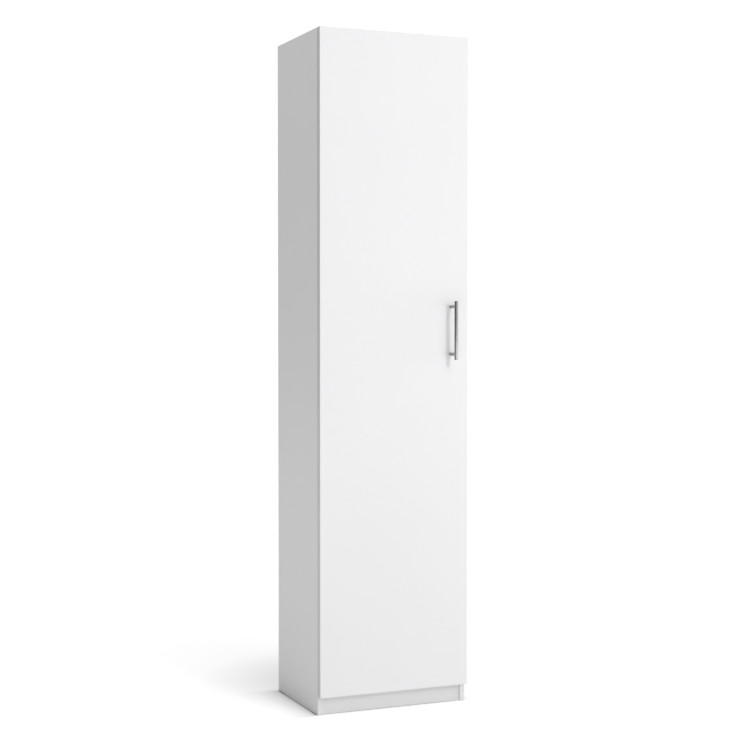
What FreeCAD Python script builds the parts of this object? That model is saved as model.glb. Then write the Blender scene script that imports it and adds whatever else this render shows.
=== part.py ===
import FreeCAD, Part
import os
import re

import Sketcher

# Broom cupboard: a tall, narrow flat-pack cupboard with one door.
# Frame: origin on the floor under the middle of the bounding box, +Z up,
# the door faces -Y, its handle is on +X and its hinges are on -X.
# All lengths are millimetres.

doc = FreeCAD.newDocument("broom_cupboard")
sheet = doc.addObject("Spreadsheet::Sheet", "Sizes")

HINGES = 4
NAILS_PER_SIDE = 9
NAILS_PER_BOARD = 2

SIZES = {
    # carcass
    "overall_height": (1800, "floor to the top of the sides"),
    "overall_width": (428, "over both side panels"),
    "side_depth": (306, "side panel, front edging included"),
    "board_thickness": (12, "sides, top, bottom, shelf and plinth"),
    "edging_thickness": (0.5, "melamine edging on every seen board edge"),
    "base_height": (50, "floor to the underside of the bottom panel"),
    "plinth_setback": (7, "plinth face behind the sides' front edges"),
    "shelf_height": (1450, "floor to the underside of the fixed shelf"),
    "shelf_setback": (15, "shelf front behind the sides' front edges"),
    # back
    "back_thickness": (3, "hardboard back sheets"),
    "back_inset": (1, "back sheet edge inside the carcass outline"),
    "profile_wall": (0.8, "flanges of the H profile"),
    "profile_web": (1, "web of the H profile, between the sheets"),
    "profile_height": (11, "height of the H profile's flanges"),
    "profile_end_gap": (1, "H profile end to the side panel"),
    "nail_diameter": (1.4, "shank of a back panel nail"),
    "nail_length": (20, "shank of a back panel nail"),
    "nail_head_diameter": (3.5, "head of a back panel nail"),
    "nail_head_height": (0.6, "head of a back panel nail"),
    "nail_end_inset": (40, "first nail to the end of its board"),
    # knock-down joints
    "cam_diameter": (15, "cam lock"),
    "cam_depth": (10, "cam lock"),
    "cam_distance": (24, "cam centre to the end of its board"),
    "cam_mouth": (4, "the cam's mouth reaches past its centre"),
    "cam_slot_length": (8, "screwdriver slot of the cam"),
    "cam_slot_width": (2, "screwdriver slot of the cam"),
    "cam_slot_depth": (1, "screwdriver slot of the cam"),
    "bolt_diameter": (6, "cam bolt stem"),
    "bolt_hole_diameter": (7, "hole for the stem in the board's end"),
    "bolt_thread_diameter": (5, "cam bolt thread in the side panel"),
    "bolt_thread_length": (9, "cam bolt thread in the side panel"),
    "dowel_diameter": (6, "wood dowel"),
    "dowel_length": (25, "wood dowel"),
    "dowel_side_depth": (8, "dowel's depth in the side panel"),
    "joint_inset": (50, "cam to the front or rear edge"),
    "dowel_offset": (32, "dowel to the cam beside it"),
    "plinth_dowel_inset": (12, "plinth dowel to the plinth's edge"),
    "joint_fit": (0.1, "radial clearance of dowels, cams and threads"),
    "cover_diameter": (17, "cap over a cam lock"),
    "cover_height": (1.2, "cap over a cam lock"),
    # floor glides
    "glide_height": (2, "glide under the side panel"),
    "glide_length": (40, "glide under the side panel"),
    "glide_width": (11, "glide under the side panel"),
    "glide_end_inset": (12, "glide to the side panel's edge"),
    "glide_corner": (4, "corner radius of a glide"),
    "glide_pin_diameter": (3, "pin pressed into the side panel"),
    "glide_pin_length": (10, "pin pressed into the side panel"),
    "glide_pin_spacing": (24, "between the two pins of a glide"),
    # wall bracket
    "bracket_leg": (30, "each leg of the angle"),
    "bracket_width": (40, "angle, along the cupboard's width"),
    "bracket_metal": (1.5, "angle sheet"),
    "wall_hole_diameter": (6, "hole for the wall screw"),
    "bracket_screw_diameter": (3.5, "screw into the top panel"),
    "bracket_screw_length": (9, "screw into the top panel"),
    "bracket_screw_spacing": (26, "between the bracket's two screws"),
    # door
    "door_thickness": (15, "door board"),
    "door_gap": (1.5, "door back to the carcass front"),
    "door_reveal": (0.5, "door edge inside the carcass side"),
    "bumper_diameter": (8, "soft dot that cushions the door"),
    "bumper_play": (0.2, "bumper to the side panel's edge"),
    "bumper_inset": (20, "bumper to the door's end"),
    # handle
    "handle_height": (1012, "floor to the middle of the bar"),
    "handle_edge": (49.5, "post centre to the door's free edge"),
    "handle_pitch": (128, "between the posts"),
    "handle_length": (158, "bar"),
    "handle_diameter": (10, "bar"),
    "handle_standoff": (33, "bar's centre line to the door face"),
    "handle_chamfer": (0.6, "ends of the bar"),
    "post_diameter": (9, "post"),
    "handle_screw_diameter": (4, "screw through the door into a post"),
    "handle_screw_reach": (12, "screw's length in the post"),
    "handle_screw_play": (0.5, "radial clearance of the door's holes"),
    "pan_head_diameter": (8, "pan head of handle, plate and arm screws"),
    "pan_head_height": (2.2, "pan head of handle, plate and arm screws"),
    "thread_fit": (0.05, "radial clearance of a screw's shank in its hole"),
    # hinges: u runs inwards from the door's hinge edge, v outwards from the
    # carcass front, both in the plane that the hinge turns in
    "hinge_end": (90, "end hinge to the door's end"),
    "cup_diameter": (35, "bore in the door"),
    "cup_edge": (4.5, "bore to the door's edge"),
    "cup_bore_depth": (12.2, "bore in the door"),
    "cup_fit": (0.1, "radial and floor clearance of the cup"),
    "cup_wall": (1, "cup's side"),
    "cup_floor": (0.7, "cup's floor"),
    "flange_thickness": (1, "rim that lies on the door"),
    "flange_diameter": (36, "rim that lies on the door"),
    "ear_half_length": (30, "cup's centre to the end of its ears"),
    "ear_width": (13, "ears of the cup"),
    "cup_screw_spacing": (48, "between the cup's two screws"),
    "cup_screw_offset": (6, "screws behind the cup's centre"),
    "cup_screw_diameter": (3.5, "cup screw"),
    "cup_screw_length": (11, "cup screw under its head"),
    "small_head_diameter": (7, "head of cup and bracket screws"),
    "small_head_height": (1.6, "head of cup and bracket screws"),
    "outer_arm_pivot_u": (32, "outer link's pin in the arm"),
    "outer_arm_pivot_v": (-5.6, "outer link's pin in the arm"),
    "outer_cup_pivot_u": (11.2, "outer link's pin in the cup"),
    "outer_cup_pivot_v": (4.5, "outer link's pin in the cup"),
    "inner_arm_pivot_u": (38, "inner link's pin in the arm"),
    "inner_arm_pivot_v": (-2, "inner link's pin in the arm"),
    "inner_bend_u": (33, "where the inner link starts to curve"),
    "inner_bend_v": (2, "where the inner link starts to curve"),
    "inner_cup_pivot_u": (12.4, "the inner link's end points here"),
    "inner_cup_pivot_v": (9.4, "the inner link's end points here"),
    "outer_link_bulge": (8.6, "rise of the outer link's curve"),
    "inner_link_bulge": (5, "rise of the inner link's curve"),
    "inner_link_short": (3, "inner link's end, short of its pivot"),
    "link_metal": (2, "thickness of both links"),
    "eye_diameter": (4.4, "eye round each pin"),
    "pin_diameter": (2.2, "hinge pin"),
    "pin_clearance": (0.05, "radial clearance round a pin"),
    "outer_link_width": (15.4, "over the outer link's cheeks"),
    "outer_link_cheek": (1.2, "each cheek of the outer link"),
    "inner_link_width": (11, "inner link"),
    "arm_width": (18.6, "over the arm's webs"),
    "arm_metal": (1.3, "arm sheet"),
    "arm_back": (64, "arm's rear end behind the carcass front"),
    "arm_shoulder": (20, "arm's nose starts behind the carcass front"),
    "arm_lift": (3.2, "arm's webs above the side panel"),
    "plate_height": (10.6, "mounting plate above the side panel"),
    "plate_block_width": (14.6, "block under the arm"),
    "plate_back": (60, "block's rear end behind the carcass front"),
    "plate_front": (24, "block's front end behind the carcass front"),
    "plate_wing": (2, "thickness of the plate's wings"),
    "plate_wing_width": (16, "wings, along the cupboard's depth"),
    "plate_wing_length": (44, "over both wings"),
    "plate_line": (37, "plate screws behind the carcass front"),
    "plate_screw_spacing": (32, "between the plate's two screws"),
    "plate_screw_diameter": (4, "plate screw"),
    "plate_screw_length": (11, "plate screw under its head"),
    "arm_screw_diameter": (4, "screw that holds or sets the arm"),
    "arm_screw_length": (9, "screw that holds or sets the arm"),
    "arm_screw_front": (30, "front arm screw behind the carcass front"),
    "arm_screw_back": (50, "rear arm screw behind the carcass front"),
}

PLACES = {
    # front to back
    "total_depth": "handle_standoff + handle_diameter / 2 + door_thickness + door_gap"
                   " + side_depth + back_thickness + profile_wall",
    "back_outer": "total_depth / 2 - profile_wall",
    "back_inner": "back_outer - back_thickness",
    "carcass_front": "back_inner - side_depth",
    "board_front": "carcass_front + edging_thickness",
    "door_back": "carcass_front - door_gap",
    "door_front": "door_back - door_thickness",
    "bar_line": "door_front - handle_standoff",
    # left to right
    "half_width": "overall_width / 2",
    "inner_half": "half_width - board_thickness",
    "door_half": "half_width - door_reveal",
    "handle_line": "door_half - handle_edge",
    # bottom to top
    "top_underside": "overall_height - board_thickness",
    "floor_top": "base_height + board_thickness",
    "shelf_middle": "shelf_height + board_thickness / 2",
    "half_board": "board_thickness / 2",
    "door_height": "overall_height - base_height",
    # hinges
    "side_face_u": "board_thickness - door_reveal",
    "cup_centre_u": "cup_edge + cup_diameter / 2",
    "cup_radius": "cup_diameter / 2 - cup_fit",
    "eye_radius": "eye_diameter / 2",
    "pin_radius": "pin_diameter / 2",
    "pin_hole_radius": "pin_radius + pin_clearance",
    "block_top_u": "side_face_u + plate_height",
    "arm_top_u": "block_top_u + arm_metal",
    "arm_low_u": "side_face_u + arm_lift",
    "cheek_inner": "outer_link_width / 2 - outer_link_cheek",
    "outer_chord": "sqrt((outer_cup_pivot_u - outer_arm_pivot_u)^2"
                   " + (outer_cup_pivot_v - outer_arm_pivot_v)^2)",
    "outer_bend_radius": "(outer_chord^2 / 4 + outer_link_bulge^2) / (2 * outer_link_bulge)",
    "inner_chord": "sqrt((inner_cup_pivot_u - inner_bend_u)^2"
                   " + (inner_cup_pivot_v - inner_bend_v)^2)",
    "inner_bend_radius": "(inner_chord^2 / 4 + inner_link_bulge^2) / (2 * inner_link_bulge)",
    "inner_leg": "sqrt((inner_bend_u - inner_arm_pivot_u)^2"
                 " + (inner_bend_v - inner_arm_pivot_v)^2)",
    "cup_pin_side": "cup_centre_u - outer_cup_pivot_u + pin_radius",
    "cup_pin_end": "sqrt(cup_radius^2 - cup_pin_side^2) - pin_clearance",
}


def formula(text):
    """Spell a formula out so that the document reads its sizes from the sheet."""
    def spell(match):
        word = match.group(0)
        if word in PLACES:
            return "(" + formula(PLACES[word]) + ")"
        if word in SIZES:
            return "Sizes." + word
        return word
    return re.sub(r"[a-z_]+", spell, text)


def fill_sheet():
    for row, (name, (number, meaning)) in enumerate(SIZES.items(), start=1):
        sheet.set("A%d" % row, meaning)
        sheet.set("B%d" % row, str(number))
        sheet.setAlias("B%d" % row, name)
    doc.recompute()


fill_sheet()


def number(text):
    """The present value of a formula, as a plain number."""
    value = sheet.evalExpression(formula(text))
    return float(getattr(value, "Value", value))


# ---------------------------------------------------------------- solids

ALONG = {
    "+x": FreeCAD.Rotation(FreeCAD.Vector(0, 1, 0), 90),
    "-x": FreeCAD.Rotation(FreeCAD.Vector(0, 1, 0), -90),
    "+y": FreeCAD.Rotation(FreeCAD.Vector(1, 0, 0), -90),
    "-y": FreeCAD.Rotation(FreeCAD.Vector(1, 0, 0), 90),
    "+z": FreeCAD.Rotation(),
    "-z": FreeCAD.Rotation(FreeCAD.Vector(1, 0, 0), 180),
}


def place(thing, at, rotation=None):
    """Bind an object's position to three formulas."""
    if rotation is not None:
        thing.Placement = FreeCAD.Placement(FreeCAD.Vector(), rotation)
    for axis, text in zip("xyz", at):
        thing.setExpression("Placement.Base." + axis, formula(text))
    return thing


def box(x, y, z):
    """A block between a low and a high formula on each axis."""
    block = doc.addObject("Part::Box", "block")
    for size, (low, high) in zip(("Length", "Width", "Height"), (x, y, z)):
        block.setExpression(size, formula("(%s) - (%s)" % (high, low)))
    return place(block, (x[0], y[0], z[0]))


def rod(radius, length, at, along="+z"):
    """A round bar that starts at a point and runs along an axis."""
    bar = doc.addObject("Part::Cylinder", "rod")
    bar.setExpression("Radius", formula(radius))
    bar.setExpression("Height", formula(length))
    return place(bar, at, ALONG[along])


def union(shapes, label="union"):
    joined = doc.addObject("Part::MultiFuse", label)
    joined.Shapes = shapes
    joined.Refine = True
    joined.Label = label
    return joined


OPPOSITE = {"+x": "-x", "-x": "+x", "+y": "-y", "-y": "+y", "+z": "-z", "-z": "+z"}


def headed_screw(shank, length, head, head_height, at, into):
    """A plain shank that goes in at a point, and a round head that stays outside."""
    return union([rod(shank, length, at, into), rod(head, head_height, at, OPPOSITE[into])],
                 "headed_screw")


def group(shapes, label="group"):
    """Separate solids held as one object."""
    held = doc.addObject("Part::Compound", label)
    held.Links = shapes
    held.Label = label
    return held


def cut(base, tools, label="cut"):
    trimmed = doc.addObject("Part::Cut", label)
    trimmed.Base = base
    trimmed.Tool = tools[0] if len(tools) == 1 else group(tools, label + "_tools")
    trimmed.Label = label
    return trimmed


def body(label):
    made = doc.addObject("PartDesign::Body", label)
    made.Label = label
    return made


def sketch(owner, role, name):
    """A sketch on one of the body's own origin planes."""
    drawing = owner.newObject("Sketcher::SketchObject", name)
    plane = [item for item in owner.Origin.OriginFeatures if item.Role == role][0]
    drawing.AttachmentSupport = [(plane, "")]
    drawing.MapMode = "FlatFace"
    return drawing


SKETCH_ORIGIN = (-1, 1)


def pin_point(drawing, geometry, point, x, y):
    """Hold a sketch point at two formulas, counted from the sketch's origin."""
    for kind, text in (("DistanceX", x), ("DistanceY", y)):
        index = drawing.addConstraint(
            Sketcher.Constraint(kind, *SKETCH_ORIGIN, geometry, point, number(text)))
        drawing.setExpression("Constraints[%d]" % index, formula(text))


def polygon(drawing, corners):
    """A closed outline of straight lines through corners given as formulas."""
    points = [FreeCAD.Vector(number(x), number(y), 0) for x, y in corners]
    lines = []
    for start, end in zip(points, points[1:] + points[:1]):
        lines.append(drawing.addGeometry(Part.LineSegment(start, end)))
    for line, after in zip(lines, lines[1:] + lines[:1]):
        drawing.addConstraint(Sketcher.Constraint("Coincident", line, 2, after, 1))
    for line, (x, y) in zip(lines, corners):
        pin_point(drawing, line, 1, x, y)


def circle(drawing, radius, x="0", y="0"):
    centre = FreeCAD.Vector(number(x), number(y), 0)
    ring = drawing.addGeometry(Part.Circle(centre, FreeCAD.Vector(0, 0, 1), number(radius)))
    index = drawing.addConstraint(Sketcher.Constraint("Radius", ring, number(radius)))
    drawing.setExpression("Constraints[%d]" % index, formula(radius))
    pin_point(drawing, ring, 3, x, y)


def feature(owner, kind, name, profile, **settings):
    made = owner.newObject("PartDesign::" + kind, name)
    made.Profile = profile
    for key, setting in settings.items():
        setattr(made, key, setting)
    return made


def extrude(owner, name, profile, length, kind="Pad", **settings):
    made = feature(owner, kind, name, profile, **settings)
    made.setExpression("Length", formula(length))
    return made


# ------------------------------------------------- knock-down joint places

def board_joints():
    """Each end of the top, bottom and shelf: side sign and its two cam lines."""
    front = "carcass_front + joint_inset"
    rear = "back_inner - joint_inset"
    heights = ("top_underside", "base_height", "shelf_height")
    for sign in ("-", "+"):
        for underside in heights:
            yield sign, underside, front, front + " + dowel_offset"
            yield sign, underside, rear, rear + " - dowel_offset"


def joint_on(sign_wanted=None, underside_wanted=None):
    for sign, underside, cam_y, dowel_y in board_joints():
        if sign_wanted in (None, sign) and underside_wanted in (None, underside):
            yield sign, underside, cam_y, dowel_y


def plinth_dowels():
    for height in ("glide_height + plinth_dowel_inset", "base_height - plinth_dowel_inset"):
        yield "carcass_front + plinth_setback + half_board", height


def outward(sign):
    """The direction from the middle towards a side panel."""
    return sign + "x"


def inward(sign):
    return OPPOSITE[outward(sign)]


def side_end(sign):
    """X of a side panel's inner face, where the boards end."""
    return sign + "inner_half"


def cam_x(sign):
    return sign + "(inner_half - cam_distance)"


# ------------------------------------------------------------------ hinges

def hinge_heights():
    for index in range(HINGES):
        yield ("base_height + hinge_end + %d * (door_height - 2 * hinge_end) / %d"
               % (index, HINGES - 1))


def from_edge(u):
    """X of a point that lies u inwards from the door's hinge edge."""
    return "-door_half + (%s)" % u


def from_front(v):
    """Y of a point that lies v outwards from the carcass front."""
    return "carcass_front - (%s)" % v


# ------------------------------------------------------------------- nails

def nail_places():
    """Every nail of the back: the board that holds it, its X and its Z."""
    run = "(overall_height - glide_height - 2 * nail_end_inset)"
    for sign, holder in (("-", "side_panel_left"), ("+", "side_panel_right")):
        for index in range(NAILS_PER_SIDE):
            height = ("glide_height + nail_end_inset + %s * %d / %d"
                      % (run, index, NAILS_PER_SIDE - 1))
            yield holder, sign + "(half_width - half_board)", height
    for holder, height in (("top_panel", "overall_height - half_board"),
                           ("bottom_panel", "base_height + half_board")):
        for index in range(1, NAILS_PER_BOARD + 1):
            x = "-inner_half + 2 * inner_half * %d / %d" % (index, NAILS_PER_BOARD + 1)
            yield holder, x, height


def nail_holes(board=None):
    """The drillings of one board's nails, or of all of them."""
    return [rod("nail_diameter / 2 + thread_fit", "nail_length", (x, "back_outer", z), "-y")
            for holder, x, z in nail_places() if board in (None, holder)]


# ----------------------------------------------------------------- carcass

def side_panel(sign, label):
    low, high = ("-half_width", "-inner_half") if sign == "-" else ("inner_half", "half_width")
    panel = box((low, high), ("board_front", "back_inner"), ("glide_height", "overall_height"))
    holes = nail_holes(label)
    for _, underside, cam_y, dowel_y in joint_on(sign):
        middle = underside + " + half_board"
        holes.append(rod("bolt_thread_diameter / 2 + joint_fit", "bolt_thread_length",
                         (side_end(sign), cam_y, middle), outward(sign)))
        holes.append(rod("dowel_diameter / 2 + joint_fit", "dowel_side_depth",
                         (side_end(sign), dowel_y, middle), outward(sign)))
    for y, z in plinth_dowels():
        holes.append(rod("dowel_diameter / 2 + joint_fit", "dowel_side_depth",
                         (side_end(sign), y, z), outward(sign)))
    for pin_y in glide_pins():
        holes.append(rod("glide_pin_diameter / 2 + joint_fit", "glide_pin_length",
                         (glide_x(sign), pin_y, "glide_height")))
    if sign == "-":
        for height in hinge_heights():
            for up in ("-", "+"):
                holes.append(rod("plate_screw_diameter / 2 + thread_fit",
                                 "plate_screw_length - plate_wing",
                                 ("-inner_half", from_front("-plate_line"),
                                  height + up + "plate_screw_spacing / 2"), "-x"))
    return cut(panel, holes, label)


def cross_board(underside, front, label, extra=()):
    """A board between the sides, bored from below for its cams."""
    top = underside + " + board_thickness"
    slab = box(("-inner_half", "inner_half"), (front, "back_inner"), (underside, top))
    holes = list(extra)
    for sign, _, cam_y, dowel_y in joint_on(underside_wanted=underside):
        middle = underside + " + half_board"
        drilling = rod("bolt_hole_diameter / 2", "cam_distance",
                       (side_end(sign), cam_y, middle), inward(sign))
        pocket = rod("cam_diameter / 2 + joint_fit", "cam_depth",
                     (cam_x(sign), cam_y, underside))
        holes.append(union([drilling, pocket]))
        holes.append(rod("dowel_diameter / 2 + joint_fit", "dowel_length - dowel_side_depth",
                         (side_end(sign), dowel_y, middle), inward(sign)))
    holes += nail_holes(label)
    return cut(slab, holes, label)


def make_carcass():
    side_panel("-", "side_panel_left")
    side_panel("+", "side_panel_right")
    bracket_holes = [rod("bracket_screw_diameter / 2 + thread_fit",
                         "bracket_screw_length - bracket_metal",
                         (x, y, "top_underside")) for x, y in bracket_screw_places()]
    cross_board("top_underside", "board_front", "top_panel", bracket_holes)
    cross_board("base_height", "board_front", "bottom_panel")
    shelf_front = "carcass_front + shelf_setback + edging_thickness"
    slab = cross_board("shelf_height", shelf_front, "shelf_blank")
    cut(slab, [profile_flange("back_inner - profile_wall", "back_inner")], "fixed_shelf")
    plinth_front = "carcass_front + plinth_setback"
    board = box(("-inner_half", "inner_half"),
                (plinth_front, plinth_front + " + board_thickness"),
                ("glide_height", "base_height"))
    holes = [rod("dowel_diameter / 2 + joint_fit", "dowel_length - dowel_side_depth",
                 (side_end(sign), y, z), inward(sign))
             for sign in ("-", "+") for y, z in plinth_dowels()]
    cut(board, holes, "plinth_board")


def make_edging():
    """The strips glued to the front edges of the sides, top, bottom and shelf."""
    depth = ("carcass_front", "board_front")
    shelf_depth = ("carcass_front + shelf_setback",
                   "carcass_front + shelf_setback + edging_thickness")
    between = ("-inner_half", "inner_half")
    height = ("glide_height", "overall_height")
    strips = [
        box(("-half_width", "-inner_half"), depth, height),
        box(("inner_half", "half_width"), depth, height),
        box(between, depth, ("top_underside", "overall_height")),
        box(between, depth, ("base_height", "floor_top")),
        box(between, shelf_depth, ("shelf_height", "shelf_height + board_thickness")),
    ]
    group(strips, "carcass_edge_bands")


def wood_dowel(sign, y, z):
    """A dowel that stands in a side panel and reaches into a board's end."""
    return rod("dowel_diameter / 2", "dowel_length",
               (sign + "(inner_half + dowel_side_depth)", y, z), inward(sign))


def make_joint_fittings():
    locks, bolts, dowels, covers = [], [], [], []
    for sign, underside, cam_y, dowel_y in board_joints():
        middle = underside + " + half_board"
        disc = rod("cam_diameter / 2", "cam_depth", (cam_x(sign), cam_y, underside))
        mouth = rod("bolt_hole_diameter / 2", "cam_distance + cam_mouth",
                    (side_end(sign), cam_y, middle), inward(sign))
        slot = box((cam_x(sign) + " - cam_slot_length / 2", cam_x(sign) + " + cam_slot_length / 2"),
                   (cam_y + " - cam_slot_width / 2", cam_y + " + cam_slot_width / 2"),
                   (underside, underside + " + cam_slot_depth"))
        locks.append(cut(disc, [mouth, slot], "cam_lock"))
        stem = rod("bolt_diameter / 2", "cam_distance",
                   (side_end(sign), cam_y, middle), inward(sign))
        thread = rod("bolt_thread_diameter / 2", "bolt_thread_length",
                     (side_end(sign), cam_y, middle), outward(sign))
        bolts.append(union([stem, thread], "cam_bolt"))
        dowels.append(wood_dowel(sign, dowel_y, middle))
        if underside != "base_height":
            covers.append(rod("cover_diameter / 2", "cover_height",
                              (cam_x(sign), cam_y, underside), "-z"))
    for sign in ("-", "+"):
        dowels += [wood_dowel(sign, y, z) for y, z in plinth_dowels()]
    group(locks, "cam_locks")
    group(bolts, "cam_bolts")
    group(dowels, "wood_dowels")
    group(covers, "cam_covers")


def glide_x(sign):
    return sign + "(half_width - half_board)"


def glide_middles():
    yield "carcass_front + glide_end_inset + glide_length / 2"
    yield "back_inner - glide_end_inset - glide_length / 2"


def glide_pins():
    for middle in glide_middles():
        yield middle + " - glide_pin_spacing / 2"
        yield middle + " + glide_pin_spacing / 2"


def make_glides():
    glides = []
    for sign in ("-", "+"):
        for middle in glide_middles():
            half = "glide_width / 2 - glide_corner"
            reach = "glide_length / 2 - glide_corner"
            x = glide_x(sign)
            floor = ("0", "glide_height")
            pieces = [
                box((x + " - glide_width / 2", x + " + glide_width / 2"),
                    (middle + " - (%s)" % reach, middle + " + " + reach), floor),
                box((x + " - (%s)" % half, x + " + " + half),
                    (middle + " - glide_length / 2", middle + " + glide_length / 2"), floor),
            ]
            for along in ("-", "+"):
                for across in ("-", "+"):
                    pieces.append(rod("glide_corner", "glide_height",
                                      (x + across + "(%s)" % half,
                                       middle + along + "(%s)" % reach, "0")))
                pieces.append(rod("glide_pin_diameter / 2", "glide_height + glide_pin_length",
                                  (x, middle + along + "glide_pin_spacing / 2", "0")))
            glides.append(union(pieces, "floor_glide"))
    group(glides, "floor_glides")


# -------------------------------------------------------------------- back

def profile_flange(front, rear):
    return box(("-inner_half + profile_end_gap", "inner_half - profile_end_gap"),
               (front, rear),
               ("shelf_middle - profile_height / 2", "shelf_middle + profile_height / 2"))


def make_back():
    width = ("-half_width + back_inset", "half_width - back_inset")
    depth = ("back_inner", "back_outer")
    upper = box(width, depth, ("shelf_middle + profile_web / 2", "overall_height - back_inset"))
    lower = box(width, depth, ("glide_height + back_inset", "shelf_middle - profile_web / 2"))
    wall_screw_hole = rod("wall_hole_diameter / 2", "back_thickness", wall_hole(), "+y")
    cut(upper, nail_holes() + [wall_screw_hole], "back_panel_upper")
    cut(lower, nail_holes(), "back_panel_lower")
    web = box(("-inner_half + profile_end_gap", "inner_half - profile_end_gap"),
              ("back_inner", "back_outer"),
              ("shelf_middle - profile_web / 2", "shelf_middle + profile_web / 2"))
    union([profile_flange("back_inner - profile_wall", "back_inner"), web,
           profile_flange("back_outer", "back_outer + profile_wall")], "back_joint_profile")
    group([headed_screw("nail_diameter / 2", "nail_length", "nail_head_diameter / 2",
                        "nail_head_height", (x, "back_outer", z), "-y")
           for _, x, z in nail_places()], "back_panel_nails")


# ------------------------------------------------------------ wall bracket

def bracket_screw_places():
    y = "back_inner - bracket_leg / 2"
    return [("-bracket_screw_spacing / 2", y), ("bracket_screw_spacing / 2", y)]


def wall_hole():
    return ("0", "back_inner", "top_underside - bracket_leg / 2")


def make_wall_bracket():
    width = ("-bracket_width / 2", "bracket_width / 2")
    flat = box(width, ("back_inner - bracket_leg", "back_inner"),
               ("top_underside - bracket_metal", "top_underside"))
    upright = box(width, ("back_inner - bracket_metal", "back_inner"),
                  ("top_underside - bracket_leg", "top_underside"))
    angle = union([flat, upright], "bracket_blank")
    holes = [rod("wall_hole_diameter / 2", "bracket_metal", wall_hole(), "-y")]
    screws = []
    for x, y in bracket_screw_places():
        at = (x, y, "top_underside - bracket_metal")
        holes.append(rod("bracket_screw_diameter / 2 + thread_fit", "bracket_metal", at))
        screws.append(headed_screw("bracket_screw_diameter / 2", "bracket_screw_length",
                                   "small_head_diameter / 2", "small_head_height", at, "+z"))
    cut(angle, holes, "wall_bracket")
    group(screws, "wall_bracket_screws")


# -------------------------------------------------------------------- door

def make_door():
    half = "(door_half - edging_thickness)"
    low = "base_height + edging_thickness"
    high = "overall_height - edging_thickness"
    depth = ("door_front", "door_back")
    board = box(("-" + half, half), depth, (low, high))
    holes = []
    for height in hinge_heights():
        holes.append(rod("cup_diameter / 2", "cup_bore_depth",
                         (from_edge("cup_centre_u"), "door_back", height), "-y"))
        for up in ("-", "+"):
            holes.append(rod("cup_screw_diameter / 2 + thread_fit",
                             "cup_screw_length - flange_thickness",
                             (from_edge("cup_centre_u + cup_screw_offset"), "door_back",
                              height + up + "cup_screw_spacing / 2"), "-y"))
    for post in post_heights():
        holes.append(rod("handle_screw_diameter / 2 + handle_screw_play", "door_thickness",
                         ("handle_line", "door_back", post), "-y"))
    cut(board, holes, "door_panel")
    full = ("-door_half", "door_half")
    strips = [
        box(("-door_half", "-" + half), depth, (low, high)),
        box((half, "door_half"), depth, (low, high)),
        box(full, depth, ("base_height", low)),
        box(full, depth, (high, "overall_height")),
    ]
    group(strips, "door_edge_bands")
    bumpers = [rod("bumper_diameter / 2", "door_gap - bumper_play",
                   ("half_width - half_board", "door_back", z), "+y")
               for z in ("base_height + bumper_inset", "overall_height - bumper_inset")]
    group(bumpers, "door_bumpers")


def post_heights():
    return ["handle_height - handle_pitch / 2", "handle_height + handle_pitch / 2"]


def make_handle():
    bar = body("handle_bar")
    section = sketch(bar, "XY_Plane", "bar_section")
    circle(section, "handle_diameter / 2")
    pad = extrude(bar, "bar_pad", section, "handle_length", Midplane=True)
    doc.recompute()
    ends = bar.newObject("PartDesign::Chamfer", "bar_ends")
    ends.Base = (pad, ["Edge%d" % (index + 1) for index, edge in enumerate(pad.Shape.Edges)
                       if isinstance(edge.Curve, Part.Circle)])
    ends.setExpression("Size", formula("handle_chamfer"))
    place(bar, ("handle_line", "bar_line", "handle_height"))
    posts, screws = [], []
    for height in post_heights():
        post = rod("post_diameter / 2", "handle_standoff",
                   ("handle_line", "door_front", height), "-y")
        seat = rod("handle_diameter / 2", "2 * post_diameter",
                   ("handle_line", "bar_line", height + " - post_diameter"))
        bore = rod("handle_screw_diameter / 2 + thread_fit", "handle_screw_reach",
                   ("handle_line", "door_front", height), "-y")
        posts.append(cut(post, [seat, bore], "handle_post"))
        screws.append(headed_screw(
            "handle_screw_diameter / 2", "door_thickness + handle_screw_reach",
            "pan_head_diameter / 2", "pan_head_height",
            ("handle_line", "door_back", height), "-y"))
    group(posts, "handle_posts")
    group(screws, "handle_screws")


# ------------------------------------------------------------ hinge pieces

def hinge_point(u, v, height):
    return from_edge(u), from_front(v), height


def pivot(name, height):
    return hinge_point(name + "_u", name + "_v", height)


def level(width, height):
    """The lower and the upper end of a span that is centred on a hinge."""
    return "%s - (%s) / 2" % (height, width), "%s + (%s) / 2" % (height, width)


def pin_along(name, radius, width, height):
    """A rod through a pivot, centred on the hinge's height."""
    x, y, z = pivot(name, height)
    return rod(radius, width, (x, y, level(width, z)[0]))


def aim(thing, start, towards, height):
    """Set a piece drawn along its own X at one pivot, pointing to another."""
    place(thing, pivot(start, height), FreeCAD.Rotation(FreeCAD.Vector(0, 0, 1), 0))
    thing.setExpression("Placement.Rotation.Angle", formula(
        "atan2(%s_v - %s_v; %s_u - %s_u)" % (start, towards, towards, start)))
    return thing


def curved_strap(chord, radius, bulge, width, short="0"):
    """A strap that curves from the origin to a point one chord along X."""
    half_turn = "asin(%s / (2 * %s))" % (chord, radius)
    cut_back = "%s / %s * 180 deg / pi" % (short, radius)
    bands = []
    for rim in (" + link_metal / 2", " - link_metal / 2"):
        band = rod(radius + rim, width, (chord + " / 2", "%s - %s" % (bulge, radius),
                                         "-(%s) / 2" % width))
        band.setExpression("Angle", formula("2 * %s - %s" % (half_turn, cut_back)))
        band.setExpression("Placement.Rotation.Angle",
                           formula("90 deg - %s + %s" % (half_turn, cut_back)))
        bands.append(band)
    return cut(bands[0], bands[1:], "curved_strap")


def arm_screw_places():
    return ["-arm_screw_front", "-arm_screw_back"]


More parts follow.
